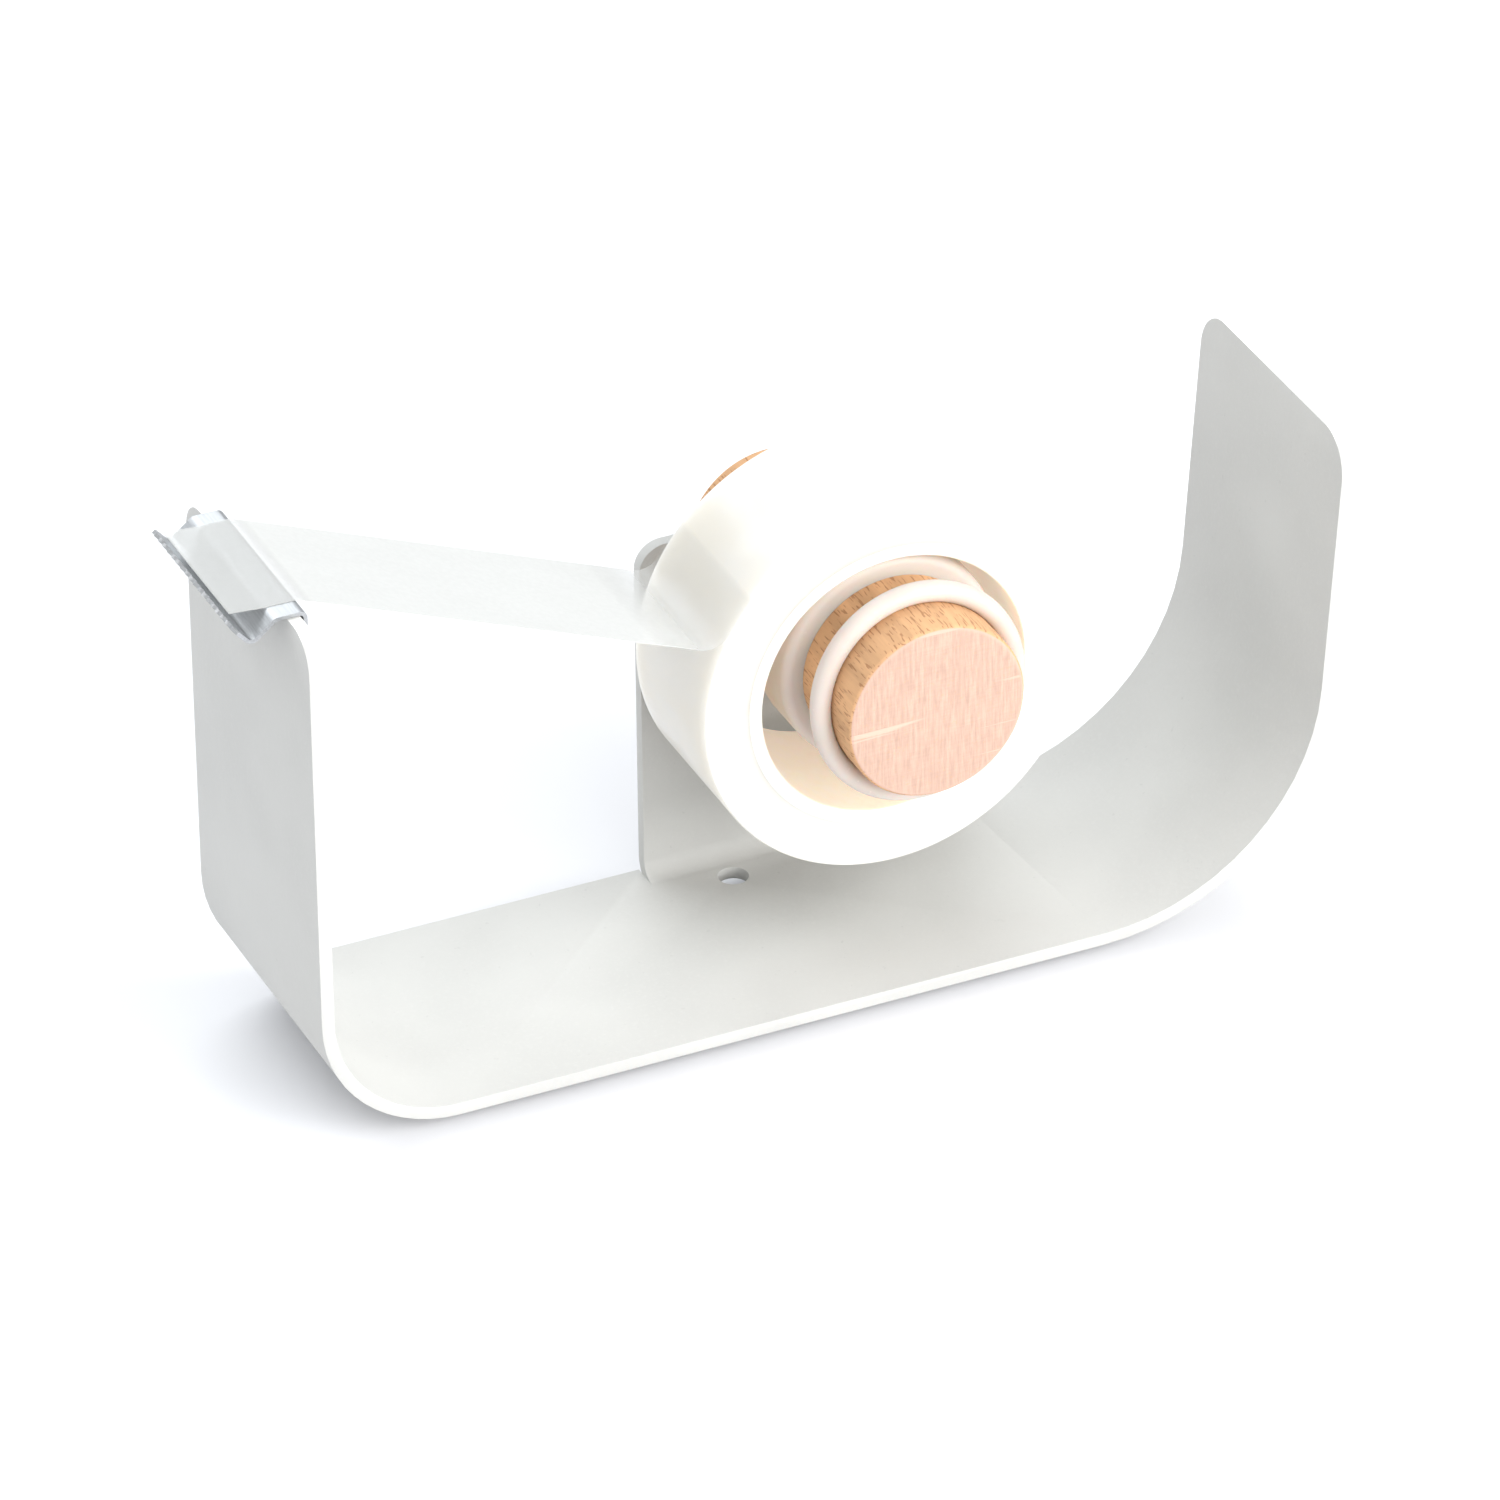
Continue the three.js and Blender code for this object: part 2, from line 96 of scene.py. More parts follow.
# ---------------------------------------------------------------- settings
def millimetres(name, description, value, low=0.0):
    return FloatProperty(
        name=name, description=description, default=value * MM, min=low, unit="LENGTH",
        precision=5,
    )


def colour(name, description, value):
    return FloatVectorProperty(
        name=name, description=description, default=value, size=3, min=0.0, max=1.0,
        subtype="COLOR",
    )


class DispenserFinishes(bpy.types.PropertyGroup):
    """Colours of the dispenser's finishes."""

    coat: colour("Powder coat", "Colour of the coated steel strip", (0.535, 0.532, 0.512))
    steel: colour("Blade steel", "Colour of the bare blade", (0.45, 0.46, 0.47))
    beech_side: colour("Beech side", "Colour along the grain", (0.62, 0.36, 0.19))
    beech_end: colour("Beech end", "Colour of the sawn end grain", (0.53, 0.355, 0.28))
    pore: colour("Beech pores", "Colour of the short flecks in the grain", (0.22, 0.08, 0.03))
    silicone: colour("Silicone", "Colour of the two rings", (0.585, 0.53, 0.48))
    film: colour("Tape film", "Colour of the clear tape", (0.60, 0.605, 0.59))
    core: colour("Tape core", "Colour of the plastic core", (0.80, 0.71, 0.57))
    pad: colour("Base pad", "Colour of the soft pad under the base", (0.06, 0.065, 0.07))
    zinc: colour("Fasteners", "Colour of the screw and the washer", (0.62, 0.63, 0.64))


class DispenserSizes(bpy.types.PropertyGroup):
    """Sizes of the small detail that the frame leaves open."""

    edge_round: millimetres("Edge rounding", "Rounding of the coated edges", 0.16)
    blade_sheet: millimetres("Blade thickness", "Thickness of the blade", 0.36)
    tooth_count: IntProperty(
        name="Teeth", description="Number of teeth along the blade", default=17, min=2,
    )
    tooth_depth: millimetres("Tooth depth", "Radius of the scallops between teeth", 0.48)
    blade_plain: millimetres("Plain ends", "Untoothed length at each end of the edge", 0.9)
    blade_trim: millimetres("Corner trim", "Trim of each corner of the toothed edge", 0.9)
    film_sheet: millimetres("Film thickness", "Thickness of the free tape", 0.09)
    layer_ripple: millimetres("Layer ripple", "Unevenness of the wound layers", 0.05)


class DispenserStage(bpy.types.PropertyGroup):
    """Floor, lights and camera."""

    floor: colour("Floor", "Colour of the floor and backdrop", (0.79, 0.79, 0.81))
    azimuth: FloatProperty(
        name="Azimuth", description="Turn of the camera round the object",
        default=math.radians(-24.3825), subtype="ANGLE",
    )
    elevation: FloatProperty(
        name="Elevation", description="Height of the camera above the horizon",
        default=math.radians(32.181), subtype="ANGLE",
    )
    roll: FloatProperty(
        name="Roll", description="Tilt of the camera about its own axis",
        default=math.radians(-0.6248), subtype="ANGLE",
    )
    distance: FloatProperty(
        name="Distance", description="From the aim to the camera", default=0.96884,
        unit="LENGTH",
    )
    lens: FloatProperty(
        name="Lens", description="Focal length on a 36 mm sensor", default=259.01,
    )
    aim_height: millimetres("Aim height", "Height of the point in the middle of the view", 21.927)


def finishes():
    return bpy.context.scene.dispenser_finishes


def sizes():
    return bpy.context.scene.dispenser_sizes


# ---------------------------------------------------------------- node expressions
class Wire:
    """An output socket that takes part in Python expressions."""

    def __init__(self, nodes, socket):
        self.nodes = nodes
        self.socket = socket

    def maths(self, operation, *others):
        values = dict(enumerate((self, *others)))
        return self.nodes.add("ShaderNodeMath", {"operation": operation}, values)

    def __add__(self, other):
        return self.maths("ADD", other)

    __radd__ = __add__

    def __sub__(self, other):
        return self.maths("SUBTRACT", other)

    def __rsub__(self, other):
        return self.nodes.add("ShaderNodeMath", {"operation": "SUBTRACT"}, {0: other, 1: self})

    def __mul__(self, other):
        return self.maths("MULTIPLY", other)

    __rmul__ = __mul__

    def __truediv__(self, other):
        return self.maths("DIVIDE", other)

    def __abs__(self):
        return self.maths("ABSOLUTE")

    def least(self, other):
        return self.maths("MINIMUM", other)

    def most(self, other):
        return self.maths("MAXIMUM", other)

    def sqrt(self):
        return self.maths("SQRT")

    def fraction(self):
        return self.maths("FRACT")

    def ramp(self, low, high, to_low=0.0, to_high=1.0):
        """Smoothly from to_low at low to to_high at high, and level outside."""
        values = {"Value": self, "From Min": low, "From Max": high, "To Min": to_low,
                  "To Max": to_high}
        settings = {"interpolation_type": "SMOOTHSTEP"}
        return self.nodes.add("ShaderNodeMapRange", settings, values)


class Nodes:
    """Adds nodes to a tree: the settings come first, then the values and links of the sockets."""

    def __init__(self, tree):
        self.tree = tree

    def add(self, kind, settings=None, sockets=None, output=0):
        node = self.tree.nodes.new(kind)
        for name, value in (settings or {}).items():
            setattr(node, name, value)
        for key, value in (sockets or {}).items():
            socket = node.inputs[key]
            if isinstance(value, Wire):
                self.tree.links.new(value.socket, socket)
            else:
                socket.default_value = value
        return Wire(self, node.outputs[output])

    def other(self, wire, output):
        """Another output of the node that the wire comes from."""
        return Wire(self, wire.socket.node.outputs[output])

    def split(self, vector):
        x = self.add("ShaderNodeSeparateXYZ", None, {0: vector})
        return x, self.other(x, 1), self.other(x, 2)

    def vector(self, x, y, z):
        return self.add("ShaderNodeCombineXYZ", None, {0: x, 1: y, 2: z})


class Finish(Nodes):
    """A procedural material: a Principled surface with colour, roughness and bump maps."""

    def __init__(self, name, **constants):
        self.material = bpy.data.materials.new(name)
        self.material.use_nodes = True
        super().__init__(self.material.node_tree)
        self.surface = self.tree.nodes["Principled BSDF"]
        for key, value in constants.items():
            self.surface.inputs[key.replace("_", " ")].default_value = value
        self.place = self.add("ShaderNodeTexCoord", output="Object")

    def feed(self, **maps):
        for key, wire in maps.items():
            self.tree.links.new(wire.socket, self.surface.inputs[key.replace("_", " ")])

    def centred(self, centre, scale=(1.0, 1.0, 1.0), turn=(0.0, 0.0, 0.0)):
        """Object coordinates measured from a centre, then stretched and turned."""
        moved = self.add("ShaderNodeVectorMath", {"operation": "SUBTRACT"},
                         {0: self.place, 1: tuple(centre)})
        return self.add("ShaderNodeMapping", None,
                        {"Vector": moved, "Rotation": turn, "Scale": scale})

    def noise(self, vector, scale, detail=3.0, roughness=0.5, distortion=0.0):
        values = {"Vector": vector, "Scale": scale, "Detail": detail, "Roughness": roughness,
                  "Distortion": distortion}
        return self.add("ShaderNodeTexNoise", None, values)

    def shade(self, first, second, factor):
        """From the first colour to the second."""
        def full(value):
            return value if isinstance(value, Wire) else (*value, 1.0)
        settings = {"data_type": "RGBA"}
        return self.add("ShaderNodeMix", settings, {0: factor, 6: full(first), 7: full(second)},
                        output=2)

    def bump(self, height, distance, strength=1.0):
        values = {"Height": height, "Distance": distance, "Strength": strength}
        return self.add("ShaderNodeBump", None, values)


def scaled(tint, factor):
    return tuple(min(channel * factor, 1.0) for channel in tint)


def powder_coat():
    tint = finishes().coat
    finish = Finish("powder_coat", IOR=1.45, Specular_IOR_Level=0.4)
    cloud = finish.noise(finish.place, 55.0, 2.0)
    grain = finish.noise(finish.place, 2600.0, 4.0, 0.6)
    peel = finish.noise(finish.place, 900.0, 2.0)
    speck = finish.noise(finish.place, 1500.0, 2.0).ramp(0.70, 0.78)
    tone = finish.shade(scaled(tint, 0.955), scaled(tint, 1.04), cloud.ramp(0.3, 0.7))
    tone = finish.shade(tone, scaled(tint, 1.10), grain.ramp(0.45, 0.8) * 0.35)
    tone = finish.shade(tone, scaled(tint, 0.80), speck * 0.35)
    # painted highlight: up-facing surfaces above 40 mm, the top edges of the wall, are made lighter
    # as if lit from above
    _, _, z = finish.split(finish.place)
    _, _, nz = finish.split(finish.add("ShaderNodeTexCoord", output="Normal"))
    painted_top_light = nz.ramp(0.7, 0.95) * z.ramp(0.040, 0.042)
    tone = finish.shade(tone, scaled(tint, 1.55), painted_top_light * 0.9)
    finish.feed(Base_Color=tone, Roughness=0.50 + 0.16 * grain + 0.05 * cloud,
                Normal=finish.bump(0.65 * peel + 0.35 * grain, 0.00012, 0.35))
    return finish.material


def blade_steel():
    tint = finishes().steel
    finish = Finish("blade_steel", Metallic=1.0)
    drawn = finish.centred((0, 0, 0), (1.0, 0.05, 1.0))
    lines = finish.noise(drawn, 5200.0, 3.0, 0.6)
    cloud = finish.noise(finish.place, 240.0, 2.0)
    tone = finish.shade(scaled(tint, 0.88), scaled(tint, 1.08), lines.ramp(0.3, 0.7))
    tone = finish.shade(tone, scaled(tint, 0.85), cloud.ramp(0.55, 0.8) * 0.4)
    finish.feed(Base_Color=tone, Roughness=0.30 + 0.18 * lines + 0.08 * cloud,
                Normal=finish.bump(lines, 0.00004, 0.4))
    return finish.material


def beech(name, centre, radius):
    """Beech turned about an axis along Y: sawn end grain on the faces, pores along the sides."""
    tints = finishes()
    finish = Finish(name, IOR=1.4, Specular_IOR_Level=0.3)
    x, _, z = finish.split(finish.centred(centre))
    _, ny, _ = finish.split(finish.add("ShaderNodeTexCoord", output="Normal"))
    end = abs(ny).ramp(0.7, 0.9)
    # along the grain
    along = finish.centred(centre, (1.0, 0.06, 1.0))
    streak = finish.noise(along, 620.0, 4.0, 0.6)
    band = finish.noise(along, 160.0, 2.0)
    flecks = finish.noise(finish.centred(centre, (1.0, 0.11, 1.0)), 5200.0, 1.0)
    fleck = flecks.ramp(0.59, 0.66)
    side = finish.shade(scaled(tints.beech_side, 0.86), scaled(tints.beech_side, 1.16),
                        streak.ramp(0.3, 0.7))
    side = finish.shade(side, scaled(tints.beech_side, 1.12), band.ramp(0.4, 0.75) * 0.5)
    side = finish.shade(side, tints.pore, fleck * 0.5)
    # across the grain
    upright = finish.noise(finish.centred(centre, (1.0, 1.0, 0.10)), 3600.0, 4.0, 0.65)
    level = finish.noise(finish.centred(centre, (0.10, 1.0, 1.0), (0, math.radians(7), 0)),
                         4200.0, 4.0, 0.65)
    rays = finish.noise(finish.centred(centre, (1.0, 1.0, 0.08)), 700.0, 3.0)
    sawn = finish.centred(centre, (0.03, 1.0, 1.0), (0, math.radians(7), 0))
    saw = finish.noise(sawn, 1500.0, 2.0, 0.4).ramp(0.64, 0.69)
    dots = finish.noise(finish.place, 4200.0, 2.0).ramp(0.58, 0.70)
    face = finish.shade(scaled(tints.beech_end, 0.80), scaled(tints.beech_end, 1.12),
                        upright.ramp(0.3, 0.7) * 0.8 + level.ramp(0.3, 0.7) * 0.2)
    face = finish.shade(face, scaled(tints.beech_end, 0.90), rays.ramp(0.45, 0.75) * 0.5)
    face = finish.shade(face, scaled(tints.beech_side, 0.95), dots * 0.30)
    face = finish.shade(face, scaled(tints.beech_end, 1.25), saw * 0.9)
    reach = (x * x + z * z).sqrt()
    rim = reach.ramp(radius - 0.6 * MM, radius - 0.1 * MM)
    face = finish.shade(face, scaled(tints.beech_end, 1.14), rim * 0.8)
    tone = finish.shade(side, face, end)
    height = (1 - end) * (0.6 * streak - 0.9 * fleck) + end * (0.5 * level + 0.5 * upright - saw)
    finish.feed(Base_Color=tone, Roughness=0.62 + 0.2 * streak,
                Normal=finish.bump(height, 0.00008, 0.5))
    return finish.material


def silicone():
    tint = finishes().silicone
    finish = Finish("silicone", IOR=1.41, Subsurface_Weight=0.35, Subsurface_Scale=0.002)
    cloud = finish.noise(finish.place, 130.0, 2.0)
    fine = finish.noise(finish.place, 1500.0, 3.0)
    dust = finish.noise(finish.place, 2400.0, 1.0).ramp(0.72, 0.78)
    tone = finish.shade(scaled(tint, 0.95), scaled(tint, 1.06), cloud.ramp(0.3, 0.7))
    tone = finish.shade(tone, scaled(tint, 1.15), dust * 0.6)
    finish.feed(Base_Color=tone, Roughness=0.36 + 0.16 * fine,
                Normal=finish.bump(fine, 0.00003, 0.4))
    return finish.material


def wound_film():
    """The roll: thin layers show as fine circles on its faces."""
    tint = finishes().film
    # the emission is a painted glow that stands in for light crossing the milky tape
    finish = Finish("wound_film", IOR=1.48, Subsurface_Weight=0.75, Subsurface_Scale=0.006,
                    Subsurface_Radius=(1.0, 0.9, 0.75), Coat_Roughness=0.15,
                    Emission_Color=(1.0, 0.97, 0.92, 1.0), Emission_Strength=PAINTED_ROLL_GLOW)
    x, _, z = finish.split(finish.centred(ROLL_AXIS))
    reach = (x * x + z * z).sqrt()
    rings = finish.noise(finish.vector(reach, 0.0, 0.0), 3600.0, 2.0, 0.6)
    broad = finish.noise(finish.vector(reach, 0.0, 0.0), 500.0, 2.0)
    cloud = finish.noise(finish.centred(ROLL_AXIS, (1.0, 0.4, 1.0)), 150.0, 2.0)
    tone = finish.shade(scaled(tint, 0.94), scaled(tint, 1.06), rings.ramp(0.3, 0.7))
    tone = finish.shade(tone, scaled(tint, 1.08), broad.ramp(0.4, 0.7) * 0.5)
    tone = finish.shade(tone, scaled((1.0, 0.93, 0.82), 0.6), cloud.ramp(0.45, 0.75) * 0.25)
    side = reach.ramp(ROLL_R - 0.5 * MM, ROLL_R - 0.1 * MM)
    cream = finish.shade((0.60, 0.575, 0.515), (0.615, 0.60, 0.56), cloud.ramp(0.35, 0.65))
    tone = finish.shade(tone, cream, side)
    finish.feed(Base_Color=tone, Roughness=0.34 + 0.14 * cloud + 0.08 * rings,
                Coat_Weight=cloud.ramp(0.2, 0.8, 0.25, 0.5),
                Normal=finish.bump(rings, 0.00004, 0.35))
    return finish.material


def core_plastic():
    """The core: cream inside, as pale as the tape on its two rims."""
    tints = finishes()
    # the emission is a painted glow that stands in for light reaching the core through the roll
    finish = Finish("core_plastic", Subsurface_Weight=0.6, Subsurface_Scale=0.004,
                    Emission_Color=(1.0, 0.93, 0.80, 1.0), Emission_Strength=PAINTED_CORE_GLOW)
    _, ny, _ = finish.split(finish.add("ShaderNodeTexCoord", output="Normal"))
    fine = finish.noise(finish.place, 700.0, 4.0, 0.6)
    cloud = finish.noise(finish.place, 60.0, 2.0)
    tone = finish.shade(scaled(tints.core, 0.94), scaled(tints.core, 1.06), fine.ramp(0.3, 0.7))
    tone = finish.shade(tone, scaled(tints.core, 0.88), cloud.ramp(0.5, 0.8) * 0.5)
    tone = finish.shade(tone, scaled(tints.film, 1.05), abs(ny).ramp(0.5, 0.8))
    finish.feed(Base_Color=tone, Roughness=0.34 + 0.18 * fine,
                Normal=finish.bump(fine, 0.00004, 0.4))
    return finish.material


def free_film():
    """The free end of the tape: one clear, slightly milky layer."""
    tint = scaled(finishes().film, 0.85)
    # the emission is a painted glow that stands in for light crossing the milky tape
    finish = Finish("free_film", IOR=1.48, Coat_Roughness=0.1,
                    Emission_Color=(1.0, 0.975, 0.94, 1.0), Emission_Strength=PAINTED_ROLL_GLOW)
    cloud = finish.noise(finish.centred((0, 0, 0), (0.3, 1.0, 1.0)), 260.0, 2.0)
    fine = finish.noise(finish.place, 1800.0, 2.0)
    tone = finish.shade(scaled(tint, 0.99), scaled(tint, 1.02), cloud)
    fade = finish.add("ShaderNodeAttribute", {"attribute_name": FADE}, output="Fac")
    x, _, _ = finish.split(finish.place)
    free = x.ramp(BLADE_HI.x - 0.3 * MM, BLADE_HI.x + 1.5 * MM, 0.45, 0.95)
    alpha = free * cloud.ramp(0.3, 0.7, 0.985, 1.0) * (1 - fade)
    finish.feed(Base_Color=tone, Roughness=0.30 + 0.16 * fine, Alpha=alpha,
                Coat_Weight=fine.ramp(0.3, 0.7, 0.1, 0.25),
                Normal=finish.bump(cloud, 0.00004, 0.2))
    return finish.material


def plain_finish(name, tint, roughness, metallic=0.0, grain=1400.0, depth=0.00004):
    finish = Finish(name, Metallic=metallic)
    fine = finish.noise(finish.place, grain, 4.0, 0.6)
    cloud = finish.noise(finish.place, grain / 12, 2.0)
    tone = finish.shade(scaled(tint, 0.88), scaled(tint, 1.1), fine.ramp(0.3, 0.7))
    tone = finish.shade(tone, scaled(tint, 0.84), cloud.ramp(0.5, 0.8) * 0.5)
    finish.feed(Base_Color=tone, Roughness=roughness + 0.18 * fine,
                Normal=finish.bump(fine, depth, 0.5))
    return finish.material


# ---------------------------------------------------------------- meshes
def add_object(name, mesh):
    piece = bpy.data.objects.new(name, mesh)
    bpy.context.scene.collection.objects.link(piece)
    return piece


def smooth_by_angle(mesh, degrees=35.0):
    """Smooth shading, with sharp edges where two faces meet at more than this angle."""
    body = bmesh.new()
    body.from_mesh(mesh)
    for face in body.faces:
        face.smooth = True
    limit = math.radians(degrees)
    for edge in body.edges:
        edge.smooth = len(edge.link_faces) == 2 and edge.calc_face_angle(0.0) < limit
    body.to_mesh(mesh)
    body.free()


def applied(piece):
    """Turns the piece's modifiers into plain mesh."""
    graph = bpy.context.evaluated_depsgraph_get()
    mesh = bpy.data.meshes.new_from_object(piece.evaluated_get(graph))
    mesh.name = piece.name
    piece.modifiers.clear()
    piece.data = mesh
    return piece


def settle(piece, material, body, slot, *nodes):
    """Gives a finished piece its material and its body, and hides the frame nodes it stands for;
    the slot is not used.
    """
    piece.data.materials.clear()
    piece.data.materials.append(material)
    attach(piece, body)
    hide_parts(*nodes)


def rounded_copy(node, name, width, segments=3, angle=40.0):
    """A copy of a frame node as clean faces with its sharp edges rounded."""
    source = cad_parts[node].data
    body = bmesh.new()
    body.from_mesh(source)
    bmesh.ops.remove_doubles(body, verts=body.verts, dist=0.002 * MM)
    bmesh.ops.dissolve_limit(body, angle_limit=math.radians(0.5), verts=body.verts,
                             edges=body.edges)
    mesh = bpy.data.meshes.new(name)
    body.to_mesh(mesh)
    body.free()
    piece = add_object(name, mesh)
    bevel = piece.modifiers.new("rounding", "BEVEL")
    bevel.width = width
    bevel.segments = segments
    bevel.limit_method = "ANGLE"
    bevel.angle_limit = math.radians(angle)
    bevel.use_clamp_overlap = True
    applied(piece)
    smooth_by_angle(piece.data, 30.0)
    return piece


def turned(name, points, centre, steps=144, closed=False):
    """A mesh turned about an axis along Y through the centre. Points are (radius, y)."""
    body = bmesh.new()
    rings = []
    for radius, y in points:
        if radius < 1e-7:
            rings.append([body.verts.new((centre.x, y, centre.z))])
            continue
        ring = []
        for i in range(steps):
            turn = 2 * math.pi * i / steps
            ring.append(body.verts.new((centre.x + radius * math.cos(turn), y,
                                        centre.z + radius * math.sin(turn))))
        rings.append(ring)
    pairs = list(zip(rings, rings[1:]))
    if closed:
        pairs.append((rings[-1], rings[0]))
    for first, second in pairs:
        for i in range(steps):
            j = (i + 1) % steps
            corners = [first[i % len(first)], first[j % len(first)],
                       second[j % len(second)], second[i % len(second)]]
            unique = [v for k, v in enumerate(corners) if v not in corners[:k]]
            body.faces.new(unique)
    bmesh.ops.recalc_face_normals(body, faces=body.faces)
    mesh = bpy.data.meshes.new(name)
    body.to_mesh(mesh)
    body.free()
    smooth_by_angle(mesh)
    return add_object(name, mesh)


def arc_points(centre, radius, start, end, steps):
    """Points on an arc in a plane, angles in degrees."""
    points = []
    for i in range(steps + 1):
        turn = math.radians(start + (end - start) * i / steps)
        points.append((centre[0] + radius * math.cos(turn), centre[1] + radius * math.sin(turn)))
    return points


def eased(points, radii, steps=6):
    """A path of [x, z] points with its inner corners eased to arcs of the given radii."""
    path = [Vector(points[0])]
    for before, corner, after, radius in zip(points, points[1:], points[2:], radii):
        before, corner, after = Vector(before), Vector(corner), Vector(after)
        back, ahead = (before - corner).normalized(), (after - corner).normalized()
        half = back.angle(ahead) / 2
        reach = radius / math.tan(half)
        centre = corner + (back + ahead).normalized() * (radius / math.sin(half))
        first, last = corner + back * reach - centre, corner + ahead * reach - centre
        sweep = first.angle_signed(last)
        for i in range(steps + 1):
            turn = -sweep * i / steps
            path.append(centre + Matrix.Rotation(turn, 2) @ first)
    path.append(Vector(points[-1]))
    return path


# ---------------------------------------------------------------- the blade, as a node tree
def blade_tree():
    """A folded sheet swept along a profile, with scallops cut in its far edge."""
    tree = bpy.data.node_groups.new("toothed_blade", "GeometryNodeTree")
    face = tree.interface
    face.new_socket(name="Geometry", in_out="OUTPUT", socket_type="NodeSocketGeometry")
    inputs = {}
    for name, kind in (
        ("Profile", "NodeSocketGeometry"), ("Length", "NodeSocketFloat"),
        ("Teeth", "NodeSocketInt"), ("Tooth Depth", "NodeSocketFloat"),
        ("Plain Ends", "NodeSocketFloat"), ("Corner Trim", "NodeSocketFloat"),
        ("Rows", "NodeSocketInt"), ("Columns", "NodeSocketInt"),
        ("Material", "NodeSocketMaterial"),
    ):
        inputs[name] = face.new_socket(name=name, in_out="INPUT", socket_type=kind)
    nodes = Nodes(tree)
    given = nodes.add("NodeGroupInput")
    entry = {name: nodes.other(given, name) for name in inputs}
    length, depth = entry["Length"], entry["Tooth Depth"]
    curve = nodes.add("GeometryNodeMeshToCurve", None, {"Mesh": entry["Profile"]})
    whole = nodes.add("GeometryNodeCurveLength", None, {"Curve": curve})
    grid = nodes.add("GeometryNodeMeshGrid", None, {
        "Size X": 1.0, "Size Y": 1.0, "Vertices X": entry["Rows"],
        "Vertices Y": entry["Columns"]})
    x, y, _ = nodes.split(nodes.add("GeometryNodeInputPosition"))
    along, across = x + 0.5, y * length
    side = abs(across)
    toothed = length * 0.5 - entry["Plain Ends"]
    pitch = toothed * 2 / entry["Teeth"]
    step = ((across + toothed) / pitch).fraction()
    near = step.least(1 - step) * pitch
    near = near.most(side - toothed)
    scallop = (depth * depth - near * near).most(0.0).sqrt()
    corner = (side - (length * 0.5 - entry["Corner Trim"])).most(0.0)
    share = ((along - TOOTH_ZONE) / (1 - TOOTH_ZONE)).most(0.0)
    reach = along * whole - share * scallop.most(corner)
    sample = nodes.add("GeometryNodeSampleCurve", {"mode": "LENGTH"},
                       {"Curves": curve, "Length": reach}, output="Position")
    px, _, pz = nodes.split(sample)
    shaped = nodes.add("GeometryNodeSetPosition", None,
                       {"Geometry": grid, "Position": nodes.vector(px, across, pz)})
    real = nodes.add("GeometryNodeRealizeInstances", None, {"Geometry": shaped})
    done = nodes.add("GeometryNodeSetMaterial", None,
                     {"Geometry": real, "Material": entry["Material"]})
    out = tree.nodes.new("NodeGroupOutput")
    tree.links.new(done.socket, out.inputs[0])
    return tree, {name: socket.identifier for name, socket in inputs.items()}


TOOTH_ZONE = 0.86  # share of the profile that the scallops leave alone
BLADE_LIFT = 0.1 * MM  # over the top of the wall
BLADE_NOSE = 1.1 * MM
VALLEY_OUT = 3.4 * MM
VALLEY_DROP = 1.9 * MM
TIP_RISE = 0.25 * MM
BLADE_FLANGE = 5.0 * MM


def blade_profile(thickness):
    """Middle line of the blade in X and Z, from the foot of the flange to the tips."""
    half = thickness / 2
    top = FRAME_HI.z + BLADE_LIFT + half
    inner = BLADE_HI.x - 0.4 * MM + half
    lift = 0.75 * half
    points = [
        (inner, BLADE_LO.z),
        (inner, top),
        (WALL_X - BLADE_NOSE, top),
        (WALL_X - VALLEY_OUT, top - VALLEY_DROP),
        (BLADE_LO.x + lift, top + TIP_RISE),
    ]
    return eased(points, (0.5 * MM, 0.6 * MM, 0.7 * MM))


class DISPENSER_OT_blade(bpy.types.Operator):
    """Make the thin toothed blade over the front wall"""

    bl_idname = "dispenser.blade"
    bl_label = "Toothed Blade"

    def execute(self, context):
        chosen = sizes()
        path = blade_profile(chosen.blade_sheet)
        mesh = bpy.data.meshes.new("blade_strip")
        edges = [(i, i + 1) for i in range(len(path) - 1)]
        mesh.from_pydata([(p.x, 0.0, p.y) for p in path], edges, [])
        piece = add_object("blade_strip", mesh)
        material = blade_steel()
        tree, names = blade_tree()
        modifier = piece.modifiers.new("blade", "NODES")
        modifier.node_group = tree
        for name, value in (
            ("Length", BLADE_HI.y - BLADE_LO.y), ("Teeth", chosen.tooth_count),
            ("Tooth Depth", chosen.tooth_depth), ("Plain Ends", chosen.blade_plain),
            ("Corner Trim", chosen.blade_trim), ("Rows", 64),
            ("Columns", chosen.tooth_count * 10 + 25), ("Material", material),
        ):
            modifier[names[name]] = value
        applied(piece)
        if len(piece.data.polygons) < chosen.tooth_count:
            raise RuntimeError("the blade has no teeth")
        skin = piece.modifiers.new("sheet", "SOLIDIFY")
        skin.thickness = chosen.blade_sheet
        skin.offset = 0.0
        skin.use_even_offset = True
        applied(piece)
        smooth_by_angle(piece.data, 45.0)
        settle(piece, material, "frame", "blade_steel", "blade")
        return {"FINISHED"}


class DISPENSER_OT_frame(bpy.types.Operator):
    """Make the coated steel strip with its rounded edges"""

    bl_idname = "dispenser.frame"
    bl_label = "Steel Strip"

    def execute(self, context):
        piece = rounded_copy("bent_frame", "steel_strip", sizes().edge_round)
        settle(piece, powder_coat(), "frame", "white_steel", "bent_frame")
        return {"FINISHED"}


class DISPENSER_OT_pad(bpy.types.Operator):
    """Make the soft pad under the base"""

    bl_idname = "dispenser.pad"
    bl_label = "Base Pad"

    def execute(self, context):
        piece = rounded_copy("base_pad", "soft_pad", 0.2 * MM)
        material = plain_finish("pad_rubber", finishes().pad, 0.7, grain=900.0, depth=0.0001)
        settle(piece, material, "frame", "pad", "base_pad")
        return {"FINISHED"}


SCREW_HOLE_R = 2.4 * MM
SCREW_HOLE_DEPTH = 14.4 * MM
HEAD_BORE_R = 5.4 * MM
HEAD_BORE_DEPTH = 4.4 * MM


